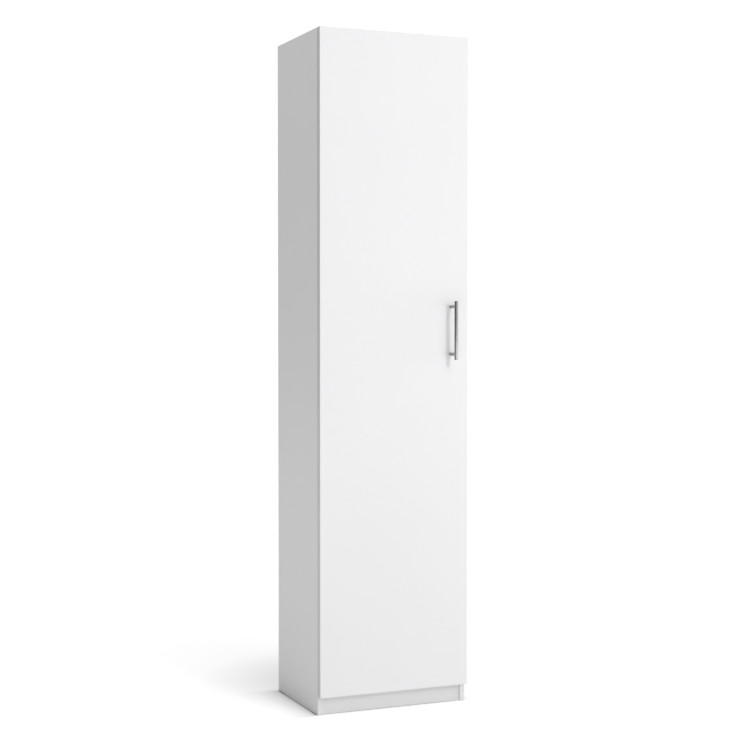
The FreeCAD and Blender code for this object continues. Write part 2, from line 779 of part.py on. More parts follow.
def hinge_plate(label, height):
    wings = box((from_edge("side_face_u"), from_edge("side_face_u + plate_wing")),
                (from_front("-plate_line + plate_wing_width / 2"),
                 from_front("-plate_line - plate_wing_width / 2")),
                level("plate_wing_length", height))
    block = box((from_edge("side_face_u"), from_edge("block_top_u")),
                (from_front("-plate_front"), from_front("-plate_back")),
                level("plate_block_width", height))
    holes = [rod("plate_screw_diameter / 2 + thread_fit", "plate_wing",
                 (from_edge("side_face_u"), from_front("-plate_line"), end), "+x")
             for end in level("plate_screw_spacing", height)]
    holes += [rod("arm_screw_diameter / 2 + thread_fit", "arm_screw_length",
                  hinge_point("block_top_u", v, height), "-x") for v in arm_screw_places()]
    cut(union([wings, block]), holes, label)


def hinge_arm(label, height):
    """A bent channel over the plate, whose webs reach out to the two pins."""
    arm = body(label)
    webs = sketch(arm, "XY_Plane", label + "_webs")
    polygon(webs, [
        ("arm_low_u", "arm_back"),
        ("arm_top_u", "arm_back"),
        ("arm_top_u", "arm_shoulder"),
        ("inner_arm_pivot_u + eye_radius", "-inner_arm_pivot_v"),
        ("inner_arm_pivot_u", "-inner_arm_pivot_v - eye_radius"),
        ("outer_arm_pivot_u", "-outer_arm_pivot_v - eye_radius"),
        ("outer_arm_pivot_u - eye_radius", "-outer_arm_pivot_v"),
        ("arm_low_u", "arm_shoulder"),
    ])
    extrude(arm, label + "_blank", webs, "arm_width", Midplane=True)
    for link in ("outer", "inner"):
        eye = sketch(arm, "XY_Plane", label + "_eye")
        circle(eye, "eye_radius", link + "_arm_pivot_u", "-%s_arm_pivot_v" % link)
        extrude(arm, label + "_eye_pad", eye, "arm_width", Midplane=True)
    hollow = sketch(arm, "XY_Plane", label + "_hollow")
    beyond = "2 * inner_arm_pivot_u"
    polygon(hollow, [
        ("0", "arm_back + arm_metal"),
        ("block_top_u", "arm_back + arm_metal"),
        ("block_top_u", "arm_shoulder"),
        (beyond, "arm_shoulder"),
        (beyond, "-arm_shoulder"),
        ("0", "-arm_shoulder"),
    ])
    extrude(arm, label + "_hollow_cut", hollow, "arm_width - 2 * arm_metal", "Pocket",
            Midplane=True)
    for link in ("outer", "inner"):
        hole = sketch(arm, "XY_Plane", label + "_pin_hole")
        circle(hole, "pin_hole_radius", link + "_arm_pivot_u", "-%s_arm_pivot_v" % link)
        extrude(arm, label + "_pin_cut", hole, "2 * arm_width", "Pocket", Midplane=True)
    for v in ("arm_screw_front", "arm_screw_back"):
        hole = sketch(arm, "YZ_Plane", label + "_screw_hole")
        circle(hole, "arm_screw_diameter / 2 + thread_fit", v)
        extrude(arm, label + "_screw_cut", hole, "4 * arm_top_u", "Pocket", Midplane=True)
    place(arm, hinge_point("0", "0", height))


def hinge_cup(label, height):
    """A round cup sunk in the door, with a rim and two ears that lie on it."""
    centre = (from_edge("cup_centre_u"), "door_back", height)
    ears = box((from_edge("cup_centre_u + cup_screw_offset - ear_width / 2"),
                from_edge("cup_centre_u + cup_screw_offset + ear_width / 2")),
               ("door_back", "door_back + flange_thickness"),
               level("2 * ear_half_length", height))
    solid = union([
        rod("cup_radius", "cup_bore_depth - cup_fit", centre, "-y"),
        rod("flange_diameter / 2", "flange_thickness", centre, "+y"),
        ears,
    ])
    mouth = (centre[0], "door_back + flange_thickness", height)
    holes = [rod("cup_radius - cup_wall",
                 "flange_thickness + cup_bore_depth - cup_fit - cup_floor", mouth, "-y")]
    for end in level("cup_screw_spacing", height):
        holes.append(rod("cup_screw_diameter / 2 + thread_fit", "flange_thickness",
                         (from_edge("cup_centre_u + cup_screw_offset"), "door_back", end),
                         "+y"))
    holes.append(pin_along("outer_cup_pivot", "pin_hole_radius", "cup_diameter", height))
    cut(solid, holes, label)


def outer_link(label, height):
    """Two curved cheeks from a barrel on the arm's pin to eyes on the cup's pins."""
    strap = curved_strap("outer_chord", "outer_bend_radius", "outer_link_bulge",
                         "outer_link_width")
    foot = "-outer_link_width / 2"
    eye = rod("eye_radius", "outer_link_width", ("outer_chord", "0", foot))
    between = box(("-outer_chord", "2 * outer_chord"), ("-outer_chord", "outer_chord"),
                  ("-(cheek_inner)", "cheek_inner"))
    cheeks = cut(union([strap, eye]), [between], "cheeks")
    barrel = rod("eye_radius", "outer_link_width", ("0", "0", foot))
    holes = [rod("pin_hole_radius", "outer_link_width", (x, "0", foot))
             for x in ("0", "outer_chord")]
    aim(cut(union([cheeks, barrel]), holes, label), "outer_arm_pivot", "outer_cup_pivot",
        height)


def inner_link(label, height):
    """A flat leg from the arm's pin, then a curve that reaches into the cup."""
    leg = box(("0", "inner_leg"), ("-link_metal / 2", "link_metal / 2"),
              ("-inner_link_width / 2", "inner_link_width / 2"))
    curve = curved_strap("inner_chord", "inner_bend_radius", "inner_link_bulge",
                         "inner_link_width", "inner_link_short")
    solid = union([
        aim(group([leg]), "inner_arm_pivot", "inner_bend", height),
        aim(curve, "inner_bend", "inner_cup_pivot", height),
        pin_along("inner_bend", "link_metal / 2", "inner_link_width", height),
        pin_along("inner_arm_pivot", "eye_radius", "inner_link_width", height),
    ])
    hole = pin_along("inner_arm_pivot", "pin_hole_radius", "inner_link_width", height)
    cut(solid, [hole], label)


def make_hinges():
    for index, height in enumerate(hinge_heights(), start=1):
        hinge_plate("hinge_plate_%d" % index, height)
        hinge_arm("hinge_arm_%d" % index, height)
        hinge_cup("hinge_cup_%d" % index, height)
        outer_link("hinge_outer_link_%d" % index, height)
        inner_link("hinge_inner_link_%d" % index, height)


def make_hinge_fasteners():
    plate_screws, arm_screws, cup_screws, arm_pins, cup_pins = [], [], [], [], []
    for height in hinge_heights():
        for end in level("plate_screw_spacing", height):
            plate_screws.append(headed_screw(
                "plate_screw_diameter / 2", "plate_screw_length",
                "pan_head_diameter / 2", "pan_head_height",
                hinge_point("side_face_u + plate_wing", "-plate_line", end), "-x"))
        for v in arm_screw_places():
            arm_screws.append(headed_screw(
                "arm_screw_diameter / 2", "arm_screw_length",
                "pan_head_diameter / 2", "pan_head_height",
                hinge_point("arm_top_u", v, height), "-x"))
        for end in level("cup_screw_spacing", height):
            cup_screws.append(headed_screw(
                "cup_screw_diameter / 2", "cup_screw_length",
                "small_head_diameter / 2", "small_head_height",
                (from_edge("cup_centre_u + cup_screw_offset"),
                 "door_back + flange_thickness", end), "-y"))
        arm_pins.append(pin_along("outer_arm_pivot", "pin_radius", "arm_width", height))
        arm_pins.append(pin_along("inner_arm_pivot", "pin_radius", "arm_width", height))
        x, y, _ = pivot("outer_cup_pivot", height)
        for sign, along in (("-", "-z"), ("+", "+z")):
            cup_pins.append(rod("pin_radius", "cup_pin_end - (cheek_inner)",
                                (x, y, height + sign + "(cheek_inner)"), along))
    group(plate_screws, "hinge_plate_screws")
    group(arm_screws, "hinge_arm_screws")
    group(cup_screws, "hinge_cup_screws")
    group(arm_pins, "hinge_arm_pins")
    group(cup_pins, "hinge_cup_pins")


# ---------------------------------------------------------- build and write

def node_names():
    names = [
        "side_panel_left", "side_panel_right", "top_panel", "bottom_panel", "fixed_shelf",
        "plinth_board", "carcass_edge_bands", "back_panel_upper", "back_panel_lower",
        "back_joint_profile", "back_panel_nails", "cam_locks", "cam_bolts", "wood_dowels",
        "cam_covers", "floor_glides", "wall_bracket", "wall_bracket_screws",
        "door_panel", "door_edge_bands", "door_bumpers",
        "handle_bar", "handle_posts", "handle_screws",
        "hinge_plate_screws", "hinge_arm_screws", "hinge_cup_screws",
        "hinge_arm_pins", "hinge_cup_pins",
    ]
    for piece in ("plate", "arm", "cup", "outer_link", "inner_link"):
        names += ["hinge_%s_%d" % (piece, index + 1) for index in range(HINGES)]
    return names


def failed_objects():
    return [item.Label for item in doc.Objects
            if "Invalid" in item.State or "Error" in item.State]


def build():
    make_carcass()
    make_edging()
    make_joint_fittings()
    make_glides()
    make_back()
    make_wall_bracket()
    make_door()
    make_handle()
    make_hinges()
    make_hinge_fasteners()
    doc.recompute()


def write_parts():
    failed = failed_objects()
    if failed:
        raise RuntimeError("objects that did not recompute: " + ", ".join(failed))
    nodes = {name: doc.getObjectsByLabel(name)[0] for name in node_names()}
    for name, node in nodes.items():
        if node.Shape.isNull() or not node.Shape.isValid() or not node.Shape.Solids:
            raise RuntimeError(name + " has no valid solid")
    os.makedirs("parts", exist_ok=True)
    for name, node in nodes.items():
        node.Shape.exportStep("parts/%s.step" % name)


build()
write_parts()
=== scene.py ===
import math
from collections import namedtuple

import bmesh
import bpy
from mathutils import Matrix, Vector


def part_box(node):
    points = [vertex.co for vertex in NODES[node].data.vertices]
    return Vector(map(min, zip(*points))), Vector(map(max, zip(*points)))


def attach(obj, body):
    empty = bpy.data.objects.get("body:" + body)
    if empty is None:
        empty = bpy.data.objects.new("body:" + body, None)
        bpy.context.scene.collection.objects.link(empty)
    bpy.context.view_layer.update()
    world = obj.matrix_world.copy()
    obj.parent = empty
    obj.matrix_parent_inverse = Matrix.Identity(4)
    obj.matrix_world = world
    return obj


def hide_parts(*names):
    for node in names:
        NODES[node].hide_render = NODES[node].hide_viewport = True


# Broom cupboard: finishes, stage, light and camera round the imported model.
# Frame: metres, origin on the floor under the middle, +Z up, the door faces -Y.
# The screws and the handle's bar are pieces of this script, in place of the model's plain
# ones. The rest of the cupboard is the model's own surface. The floor and a black card that
# only the metal mirrors are the stage.

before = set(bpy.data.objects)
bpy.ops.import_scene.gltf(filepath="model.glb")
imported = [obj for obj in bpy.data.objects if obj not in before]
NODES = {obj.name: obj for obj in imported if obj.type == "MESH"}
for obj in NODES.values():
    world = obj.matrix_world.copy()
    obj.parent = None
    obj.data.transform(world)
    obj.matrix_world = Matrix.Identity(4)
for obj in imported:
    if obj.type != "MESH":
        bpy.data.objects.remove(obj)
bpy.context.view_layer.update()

MM = 0.001


# ------------------------------------------------------------ material tools

# the period in metres of Blender's wave texture at scale 1
WAVE_PERIOD = math.pi / 10
# the sockets of a Mix node that deal in colours: others share their names
MIX_FACTOR, MIX_FIRST, MIX_SECOND, MIX_RESULT = 0, 6, 7, 2


class Finish:
    """A Principled material, with short ways to add the nodes that feed it."""

    def __init__(self, name, **constants):
        self.material = bpy.data.materials.new(name)
        self.material.use_nodes = True
        self.tree = self.material.node_tree
        self.shader = self.tree.nodes["Principled BSDF"]
        self.wire(self.shader, **constants)
        self.place = self.node("ShaderNodeTexCoord").outputs["Object"]

    def node(self, kind, **settings):
        """A new node with its settings."""
        made = self.tree.nodes.new(kind)
        for key, value in settings.items():
            setattr(made, key, value)
        return made

    def plug(self, target, source):
        """Feed an input from another node's output, or give it a constant."""
        if isinstance(source, bpy.types.NodeSocket):
            self.tree.links.new(source, target)
        else:
            target.default_value = source

    def wire(self, node, **sources):
        """Plug inputs of a node by name, with _ for each blank."""
        for name, source in sources.items():
            self.plug(node.inputs[name.replace("_", " ")], source)

    def fill(self, node, sources):
        """Plug a node's first inputs in their order."""
        for target, source in zip(node.inputs, sources):
            self.plug(target, source)

    def stretched(self, stretch):
        """The object's own coordinates, squeezed along some axes."""
        mapping = self.node("ShaderNodeMapping")
        self.wire(mapping, Vector=self.place, Scale=stretch)
        return mapping.outputs["Vector"]

    def noise(self, grain, detail=2.0, roughness=0.5, stretch=(1, 1, 1), distortion=0.0):
        """Smooth noise whose blotches are about one grain (in metres) across."""
        made = self.node("ShaderNodeTexNoise")
        self.wire(made, Vector=self.stretched(stretch), Scale=1 / grain, Detail=detail,
                  Roughness=roughness, Distortion=distortion)
        return made.outputs["Fac"]

    def cells(self, grain, stretch):
        """Cells about one grain across, each of its own tone."""
        made = self.node("ShaderNodeTexVoronoi")
        self.wire(made, Vector=self.stretched(stretch), Scale=1 / grain)
        tone = self.node("ShaderNodeRGBToBW")
        self.wire(tone, Color=made.outputs["Color"])
        return tone.outputs["Val"]

    def waves(self, period, axis):
        """Even ridges across an axis."""
        made = self.node("ShaderNodeTexWave", wave_type="BANDS", bands_direction=axis)
        self.wire(made, Vector=self.place, Scale=WAVE_PERIOD / period)
        return made.outputs["Fac"]

    def product(self, *sources):
        """Two numbers multiplied."""
        made = self.node("ShaderNodeMath", operation="MULTIPLY")
        self.fill(made, sources)
        return made.outputs["Value"]

    def vector(self, operation, *sources, output="Vector"):
        """One step of vector arithmetic."""
        made = self.node("ShaderNodeVectorMath", operation=operation)
        self.fill(made, sources)
        return made.outputs[output]

    def between(self, factor, low, high, start=0.0, end=1.0):
        """A number that goes from low to high as factor goes from start to end."""
        made = self.node("ShaderNodeMapRange")
        self.wire(made, Value=factor, From_Min=start, From_Max=end, To_Min=low, To_Max=high)
        return made.outputs["Result"]

    def ramp(self, factor, stops):
        """A colour that goes through the stops, each a place and a colour."""
        made = self.node("ShaderNodeValToRGB")
        elements = made.color_ramp.elements
        while len(elements) < len(stops):
            elements.new(1.0)
        for element, (at, colour) in zip(elements, stops):
            element.position = at
            element.color = (*colour, 1)
        self.wire(made, Fac=factor)
        return made.outputs["Color"]

    def blend(self, factor, dark, light, start=0.3, end=0.7):
        """A colour that goes from dark to light as factor goes from start to end."""
        return self.ramp(factor, ((start, dark), (end, light)))

    def tint(self, colour, factor, other):
        """A colour, mixed towards a constant one by a factor."""
        made = self.node("ShaderNodeMix", data_type="RGBA")
        self.plug(made.inputs[MIX_FACTOR], factor)
        self.plug(made.inputs[MIX_FIRST], colour)
        self.plug(made.inputs[MIX_SECOND], (*other, 1))
        return made.outputs[MIX_RESULT]

    def colour(self, source):
        """The surface's own colour."""
        self.wire(self.shader, Base_Color=source)

    def gloss(self, factor, smooth, rough, start=0.0, end=1.0):
        """Roughness that goes from smooth to rough as factor goes from start to end."""
        self.wire(self.shader, Roughness=self.between(factor, smooth, rough, start, end))

    def bump(self, height, depth):
        """Relief of a real depth in metres."""
        made = self.node("ShaderNodeBump")
        self.wire(made, Height=height, Distance=depth)
        self.wire(self.shader, Normal=made.outputs["Normal"])


def grey(level, blue=0.0):
    """A neutral linear colour, a little bluer where blue is above 0."""
    return (level * (1 - blue), level * (1 - blue), level)


# ----------------------------------------------------------------- materials
# Above each material stand its numbers: grains and depths in metres, roughness and levels as
# pairs that start with the smooth or the dark one, linear colours, a shade as what the darker
# places keep of a tone, and limits as the values of a pattern where a change starts and ends.

PLASTIC_IOR = 1.5

FOIL_BLOTCH = 0.35
FOIL_SHADE = 0.985
FOIL_ROUGHNESS = (0.40, 0.52)
PEARL_GRAIN = 0.9 * MM
PEARL_DEPTH = 0.012 * MM


def melamine(name, level, blue=0.0):
    """Satin white foil on chipboard, with a fine pearl grain."""
    finish = Finish(name, IOR=PLASTIC_IOR)
    blotches = finish.noise(FOIL_BLOTCH, detail=3)
    finish.colour(finish.blend(blotches, grey(level * FOIL_SHADE, blue), grey(level, blue)))
    pearl = finish.noise(PEARL_GRAIN, detail=3, roughness=0.6)
    finish.gloss(pearl, *FOIL_ROUGHNESS)
    finish.bump(pearl, PEARL_DEPTH)
    return finish.material


EDGING_GRAIN = 4 * MM
EDGING_STRETCH = (1, 1, 0.05)
EDGING_SHADE = 0.97
EDGING_BLUE = 0.01
EDGING_ROUGHNESS = (0.34, 0.46)
EDGING_DEPTH = 0.01 * MM


def edging(name, level):
    """Thin plastic lipping with upright draw marks, a little smoother than the boards."""
    finish = Finish(name, IOR=PLASTIC_IOR)
    marks = finish.noise(EDGING_GRAIN, detail=4, stretch=EDGING_STRETCH)
    finish.colour(finish.blend(marks, grey(level * EDGING_SHADE, EDGING_BLUE), grey(level, EDGING_BLUE)))
    finish.gloss(marks, *EDGING_ROUGHNESS)
    finish.bump(marks, EDGING_DEPTH)
    return finish.material


FLAKE = 1.6 * MM
FLAKE_STRETCH = (1, 1, 1.6)
FLAKE_LIMITS = (0.1, 0.9)
FLAKE_DARK = (0.30, 0.19, 0.10)
FLAKE_LIGHT = (0.62, 0.47, 0.30)
DUST_GRAIN = 0.5 * MM
DUST_COLOUR = (0.70, 0.57, 0.40)
DUST_COVER = 0.5
DUST_DEPTH = 0.15 * MM
CORE_ROUGHNESS = 0.9


def chipboard():
    """The raw core: pressed wood flakes in several browns, with fine dust over them."""
    finish = Finish("chipboard_core", Roughness=CORE_ROUGHNESS)
    flakes = finish.blend(finish.cells(FLAKE, FLAKE_STRETCH), FLAKE_DARK, FLAKE_LIGHT, *FLAKE_LIMITS)
    dust = finish.noise(DUST_GRAIN, detail=4)
    finish.colour(finish.tint(flakes, finish.between(dust, 0.0, DUST_COVER), DUST_COLOUR))
    finish.bump(dust, DUST_DEPTH)
    return finish.material


LACQUER_GRAIN = 1.5 * MM
LACQUER_STRETCH = (1, 1, 0.4)
LACQUER_LEVELS = (0.80, 0.84)
LACQUER_ROUGHNESS = (0.35, 0.5)
LACQUER_DEPTH = 0.03 * MM


def lacquered_hardboard():
    """The white face of the back sheets, which shows the fibres a little."""
    finish = Finish("hardboard_white", IOR=PLASTIC_IOR)
    fibres = finish.noise(LACQUER_GRAIN, detail=5, roughness=0.7, stretch=LACQUER_STRETCH)
    finish.colour(finish.blend(fibres, *map(grey, LACQUER_LEVELS)))
    finish.gloss(fibres, *LACQUER_ROUGHNESS)
    finish.bump(fibres, LACQUER_DEPTH)
    return finish.material


HARDBOARD_BLOTCH = 0.12
HARDBOARD_DARK = (0.155, 0.082, 0.042)
HARDBOARD_LIGHT = (0.235, 0.135, 0.072)
HARDBOARD_ROUGHNESS = (0.65, 0.9)
FIBRE_GRAIN = 2.2 * MM
FIBRE_COLOUR = (0.40, 0.27, 0.16)
FIBRE_COVER = 0.55
FIBRE_LIMITS = (0.4, 0.75)
PRESS_MESH = 1.4 * MM
PRESS_DEPTH = 0.08 * MM


def raw_hardboard():
    """The brown outer face of the back sheets, with the print of the press's mesh."""
    finish = Finish("hardboard_brown")
    blotches = finish.noise(HARDBOARD_BLOTCH, detail=5, roughness=0.6)
    fibres = finish.noise(FIBRE_GRAIN, detail=6, roughness=0.75, distortion=1.5)
    body = finish.blend(blotches, HARDBOARD_DARK, HARDBOARD_LIGHT)
    cover = finish.between(fibres, 0.0, FIBRE_COVER, *FIBRE_LIMITS)
    finish.colour(finish.tint(body, cover, FIBRE_COLOUR))
    finish.gloss(fibres, *HARDBOARD_ROUGHNESS)
    finish.bump(finish.product(finish.waves(PRESS_MESH, "X"), finish.waves(PRESS_MESH, "Z")), PRESS_DEPTH)
    return finish.material


MOULDED_IOR = 1.46
MOULDED_BLOTCH = 8 * MM
MOULDED_SHADE = 0.96
SPARK_GRAIN = 0.35 * MM
SPARK_SPREAD = (-0.06, 0.08)
SPARK_DEPTH = 0.01 * MM


def moulded_plastic(name, level, roughness):
    """Plastic out of a lightly sparked mould, its roughness spread a little round a middle."""
    finish = Finish(name, IOR=MOULDED_IOR)
    spark = finish.noise(SPARK_GRAIN)
    blotches = finish.noise(MOULDED_BLOTCH)
    finish.colour(finish.blend(blotches, grey(level * MOULDED_SHADE), grey(level)))
    finish.gloss(spark, *(roughness + spread for spread in SPARK_SPREAD))
    finish.bump(spark, SPARK_DEPTH)
    return finish.material


DOT_IOR = 1.45
DOT_CLEARNESS = 0.35
DOT_BLOTCH = 2 * MM
DOT_LEVELS = (0.72, 0.80)
DOT_ROUGHNESS = (0.45, 0.6)


def soft_dot():
    """The milky, partly clear rubber of the door's bumpers."""
    finish = Finish("soft_dot", IOR=DOT_IOR, Transmission_Weight=DOT_CLEARNESS)
    blotches = finish.noise(DOT_BLOTCH)
    finish.colour(finish.blend(blotches, *map(grey, DOT_LEVELS)))
    finish.gloss(blotches, *DOT_ROUGHNESS)
    return finish.material


BLOOM = 9 * MM
SCRATCH_GRAIN = 1.5 * MM
SCRATCH_DEPTH = 0.006 * MM
SCRATCH_LIMITS = (0.3, 0.7)


def metal(name, dark, light, roughness, grain=SCRATCH_GRAIN, stretch=(1, 1, 1), depth=SCRATCH_DEPTH):
    """Plated, cast or brushed metal: tone and gloss vary a little over the surface."""
    finish = Finish(name, Metallic=1.0)
    finish.colour(finish.blend(finish.noise(BLOOM, detail=4), dark, light))
    scratches = finish.noise(grain, detail=4, roughness=0.7, stretch=stretch)
    finish.gloss(scratches, *roughness, *SCRATCH_LIMITS)
    finish.bump(scratches, depth)
    return finish.material


BEECH_GRAIN = 0.7 * MM
BEECH_STRETCH = (0.08, 1, 1)
BEECH_DARK = (0.42, 0.27, 0.14)
BEECH_LIGHT = (0.66, 0.48, 0.29)
BEECH_ROUGHNESS = 0.6
BEECH_DEPTH = 0.05 * MM


def beech():
    """The wood of the dowels, with its grain along X as they lie."""
    finish = Finish("beech", Roughness=BEECH_ROUGHNESS)
    grain = finish.noise(BEECH_GRAIN, detail=4, stretch=BEECH_STRETCH)
    finish.colour(finish.blend(grain, BEECH_DARK, BEECH_LIGHT))
    finish.bump(grain, BEECH_DEPTH)
    return finish.material


FOIL = melamine("melamine_white", 0.86, blue=0.013)
SIDE_FOIL = melamine("melamine_side", 0.86)
CORE = chipboard()
# the plinth is the same white board as the rest, made darker: painted shade under the door's overhang
PLINTH_SHADED_FOIL = melamine("melamine_plinth_painted_shade", 0.74)
# the carcass edging is made darker than the white foil: painted shade of the front edges under the door
FRONT_EDGING_SHADED = edging("edging_carcass_painted_shade", 0.79)
# the door's edging is made darker still: painted shade of the door's edge beside the carcass
DOOR_EDGING_SHADED = edging("edging_door_painted_shade", 0.70)
WHITE_BACK = lacquered_hardboard()
BROWN_BACK = raw_hardboard()
WHITE_PLASTIC = moulded_plastic("plastic_white", 0.82, 0.42)
GREY_PLASTIC = moulded_plastic("plastic_grey", 0.16, 0.5)
SOFT_DOT = soft_dot()
ZINC = metal("zinc_plate", (0.60, 0.62, 0.64), (0.74, 0.75, 0.76), (0.26, 0.42))
CAST_ZINC = metal("zinc_cast", (0.40, 0.41, 0.43), (0.52, 0.53, 0.54), (0.45, 0.6),
                  grain=0.8 * MM, depth=0.03 * MM)
NICKEL = metal("nickel_plate", (0.60, 0.58, 0.55), (0.73, 0.71, 0.68), (0.16, 0.30))
BRUSHED_STEEL = metal("brushed_steel", grey(0.36), grey(0.43), (0.18, 0.28),
                      grain=0.5 * MM, stretch=(1, 1, 0.03), depth=0.01 * MM)
BEECH = beech()


# ----------------------------------------------------- finishes on the nodes

# a face is foil where it lies within this depth of the board's box and looks straight out
FOIL_DEPTH = 0.1 * MM
STRAIGHT_OUT = 0.9
# the nodes that are of one material all over
PLAIN = {
    "plinth_board": PLINTH_SHADED_FOIL,
    "carcass_edge_bands": FRONT_EDGING_SHADED,
    "door_edge_bands": DOOR_EDGING_SHADED,
    "back_joint_profile": WHITE_PLASTIC,
    "cam_locks": CAST_ZINC,
    "cam_bolts": ZINC,
    "wood_dowels": BEECH,
    "cam_covers": WHITE_PLASTIC,
    "floor_glides": GREY_PLASTIC,
    "back_panel_nails": ZINC,
    "wall_bracket": ZINC,
    "wall_bracket_screws": ZINC,
    "door_bumpers": SOFT_DOT,
    "handle_bar": BRUSHED_STEEL,
    "handle_posts": BRUSHED_STEEL,
    "handle_screws": ZINC,
    "hinge_plate_screws": ZINC,
    "hinge_arm_screws": ZINC,
    "hinge_cup_screws": ZINC,
    "hinge_arm_pins": NICKEL,
    "hinge_cup_pins": NICKEL,
}


def finish_node(name, *materials, pick=None):
    """Give a node its materials; pick says which one a face has, by its middle and normal."""
    mesh = NODES[name].data
    mesh.materials.clear()
    for material in materials:
        mesh.materials.append(material)
    for face in mesh.polygons:
        face.material_index = pick(face.center, face.normal) if pick else 0


def foil_faces(name, axis, foil):
    """A board: foil on its two wide outer faces, raw core on its edges and in its holes."""
    low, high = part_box(name)

    def pick(middle, normal):
        on_face = min(middle[axis] - low[axis], high[axis] - middle[axis]) < FOIL_DEPTH
        return 0 if on_face and abs(normal[axis]) > STRAIGHT_OUT else 1

    finish_node(name, foil, CORE, pick=pick)


def back_faces(name):
    """A back sheet: white towards the inside, brown towards the wall and on its edges."""
    finish_node(name, WHITE_BACK, BROWN_BACK,
                pick=lambda middle, normal: 0 if normal.y < -STRAIGHT_OUT else 1)


def dress_boards():
    """The boards that have one look on their faces and another elsewhere."""
    for name in ("side_panel_left", "side_panel_right"):
        foil_faces(name, 0, SIDE_FOIL)
    for name in ("top_panel", "bottom_panel", "fixed_shelf"):
        foil_faces(name, 2, FOIL)
    foil_faces("door_panel", 1, FOIL)
    for name in ("back_panel_upper", "back_panel_lower"):
        back_faces(name)


def dress_fittings():
    """The plain nodes, and the numbered pieces of each hinge in nickel."""
    for name, material in PLAIN.items():
        finish_node(name, material)
    for name in NODES:
        if name.startswith("hinge_") and name[-1].isdigit():
            finish_node(name, NICKEL)


# ------------------------------------------------------------- turned pieces

QUARTER = math.radians(90)
SHARP_ANGLE = math.radians(35)


def ring(shape, place, points):
    """New points of a shape, given in the coordinates of a place."""
    return [shape.verts.new(place @ Vector(point)) for point in points]


def skin(shape, upper, lower):
    """Faces between two rings of as many points."""
    for index in range(len(upper)):
        shape.faces.new((upper[index - 1], upper[index], lower[index], lower[index - 1]))


def turned(shape, place, profile, sides):
    """Turn a profile of radii and heights round the Z axis of a place, open at both ends."""
    circle = [math.tau * side / sides for side in range(sides)]
    rings = [ring(shape, place, [(radius * math.cos(angle), radius * math.sin(angle), height)
                                 for angle in circle])
             for radius, height in profile]
    for upper, lower in zip(rings, rings[1:]):
        skin(shape, upper, lower)
    return rings


def take_place(shape, name, material, body, node):
    """Make a piece of a shape, to ride on a body in place of a node."""
    bmesh.ops.recalc_face_normals(shape, faces=shape.faces)
    for face in shape.faces:
        face.smooth = True
    mesh = bpy.data.meshes.new(name)
    shape.to_mesh(mesh)
    shape.free()
    mesh.set_sharp_from_angle(angle=SHARP_ANGLE)
    mesh.materials.append(material)
    piece = bpy.data.objects.new(name, mesh)
    bpy.context.scene.collection.objects.link(piece)
    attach(piece, body)
    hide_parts(node)


# ---------------------------------------------------------------- the screws

SIDES = 24
DOME_STEPS = 5
# shares of the head's radius
HEAD_FLAT = 0.60
CROSS_REACH = 0.55
CROSS_HALF = 0.12
# shares of the head's height, and what the cross keeps of its size at the bottom
HEAD_RIM = 0.25
CROSS_DEPTH = 0.75
CROSS_TAPER = 0.5
# the thread's core as a share of the shank, and the screw's end as one of the core
THREAD_CORE = 0.72
THREAD_END = 0.5
# where one turn of the thread leaves the core, has its crest and is back, as shares of the pitch
TURN_LEAVES, TURN_CREST, TURN_BACK = 0.35, 0.6, 0.85
WOOD_PITCH = 1.2 * MM
MACHINE_PITCH = 0.7 * MM
# each screw is turned by this many degrees more than the one before
TURN_STEP = 37
# a point further out than this share of the head's radius is on the head's rim
RIM_POINTS = 0.9
# the shank starts this far under the head, and points closer than the weld are one
UNDER_HEAD = 0.2 * MM
WELD = 0.001 * MM
# node: the body it rides on and the pitch of its thread
SCREWS = {
    "hinge_plate_screws": ("carcass", WOOD_PITCH),
    "hinge_arm_screws": ("carcass", MACHINE_PITCH),
    "wall_bracket_screws": ("carcass", WOOD_PITCH),
    "hinge_cup_screws": ("door", WOOD_PITCH),
    "handle_screws": ("door", MACHINE_PITCH),
}


def loose_parts(name):
    """The points of each separate solid of a node."""
    shape = bmesh.new()
    shape.from_mesh(NODES[name].data)
    bmesh.ops.remove_doubles(shape, verts=shape.verts, dist=WELD)
    left = set(shape.verts)
    parts = []
    while left:
        reached = [left.pop()]
        points = []
        while reached:
            vertex = reached.pop()
            points.append(vertex.co.copy())
            near = {edge.other_vert(vertex) for edge in vertex.link_edges} & left
            left -= near
            reached.extend(near)
        parts.append(points)
    shape.free()
    return sorted(parts, key=lambda points: tuple(min(points, key=tuple)))


